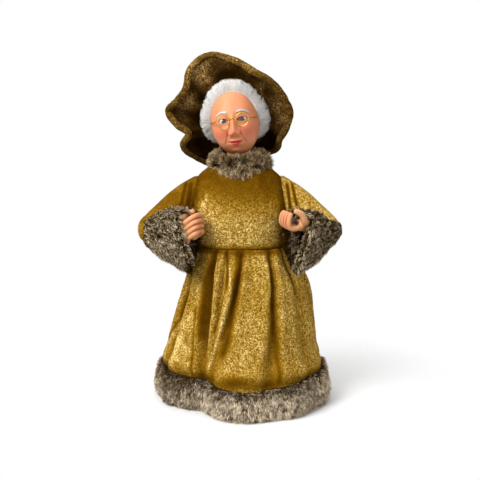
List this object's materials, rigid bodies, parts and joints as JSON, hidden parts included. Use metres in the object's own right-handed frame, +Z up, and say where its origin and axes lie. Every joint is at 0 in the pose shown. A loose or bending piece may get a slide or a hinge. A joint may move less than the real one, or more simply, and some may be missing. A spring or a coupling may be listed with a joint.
{
  "type": "standing cloth doll",
  "caption": "Standing old-lady doll in a gathered velvet dress with fur collar, cuffs and hem, a floppy brimmed hat, wire spectacles and resin grip hands.",
  "frame": {"origin": "middle of the base's underside, on the floor", "axes": "+Z up, the doll faces -Y, +X to the doll's left"},
  "size_m": [0.2642, 0.2319, 0.4568],
  "materials": {
    "felt": "pressed felt",
    "board": "bare fibreboard",
    "steel": "plain steel",
    "dowel": "bare beech",
    "card": "stiff sheet",
    "nylon": "natural nylon",
    "wadding": "stuffed cotton",
    "gold_velvet": "crushed velvet with a sheen",
    "hat_velvet": "darker brown side of crushed velvet",
    "fur": "grey-brown long-pile fur with pale tips",
    "painted_resin": "satin painted cast resin",
    "eye_gloss": "gloss painted",
    "mohair": "white combed mohair",
    "gilt_wire": "bright gilt wire"
  },
  "bodies": {
    "dress_and_stand": {"base_pad": "felt", "base_board": "board", "base_screw": "steel", "spine_post": "dowel", "skirt_cone": "card", "shoulder_tube": "nylon", "torso_core": "wadding", "bodice": "gold_velvet", "collar": "fur", "skirt": "gold_velvet", "hem_trim": "fur"},
    "head_and_hat": {"head": "painted_resin", "left_eye": "eye_gloss", "right_eye": "eye_gloss", "hair": "mohair", "spectacles": "gilt_wire", "hat_crown": "hat_velvet", "hat_brim": "hat_velvet", "brim_edge_roll": "hat_velvet"},
    "left_arm": {"left_sleeve": "gold_velvet", "left_cuff": "fur", "left_arm_pad": "wadding", "left_arm_wire": "steel"},
    "right_arm": {"right_sleeve": "gold_velvet", "right_cuff": "fur", "right_arm_pad": "wadding", "right_arm_wire": "steel"},
    "left_fist": {"left_hand": "painted_resin"},
    "right_fist": {"right_hand": "painted_resin"}
  },
  "joints": [
    {"name": "head_turn", "type": "hinge", "parent": "dress_and_stand", "child": "head_and_hat", "pos_m": [-0.004, 0, 0.33], "axis": [0, 0, 1], "range_deg": [-25, 25]},
    {"name": "left_shoulder", "type": "hinge", "parent": "dress_and_stand", "child": "left_arm", "pos_m": [0.0538, 0, 0.274], "axis": [-1, 0, 0], "range_deg": [-3, 45]},
    {"name": "right_shoulder", "type": "hinge", "parent": "dress_and_stand", "child": "right_arm", "pos_m": [-0.0618, 0, 0.274], "axis": [-1, 0, 0], "range_deg": [-3, 45]},
    {"name": "left_wrist", "type": "hinge", "parent": "left_arm", "child": "left_fist", "pos_m": [0.0846, -0.0566, 0.242], "axis": [-0.9765, -0.2003, 0.0801], "range_deg": [-30, 30]},
    {"name": "right_wrist", "type": "hinge", "parent": "right_arm", "child": "right_fist", "pos_m": [-0.083, -0.0492, 0.233], "axis": [0.8605, -0.4803, 0.1701], "range_deg": [-30, 30]}
  ]
}
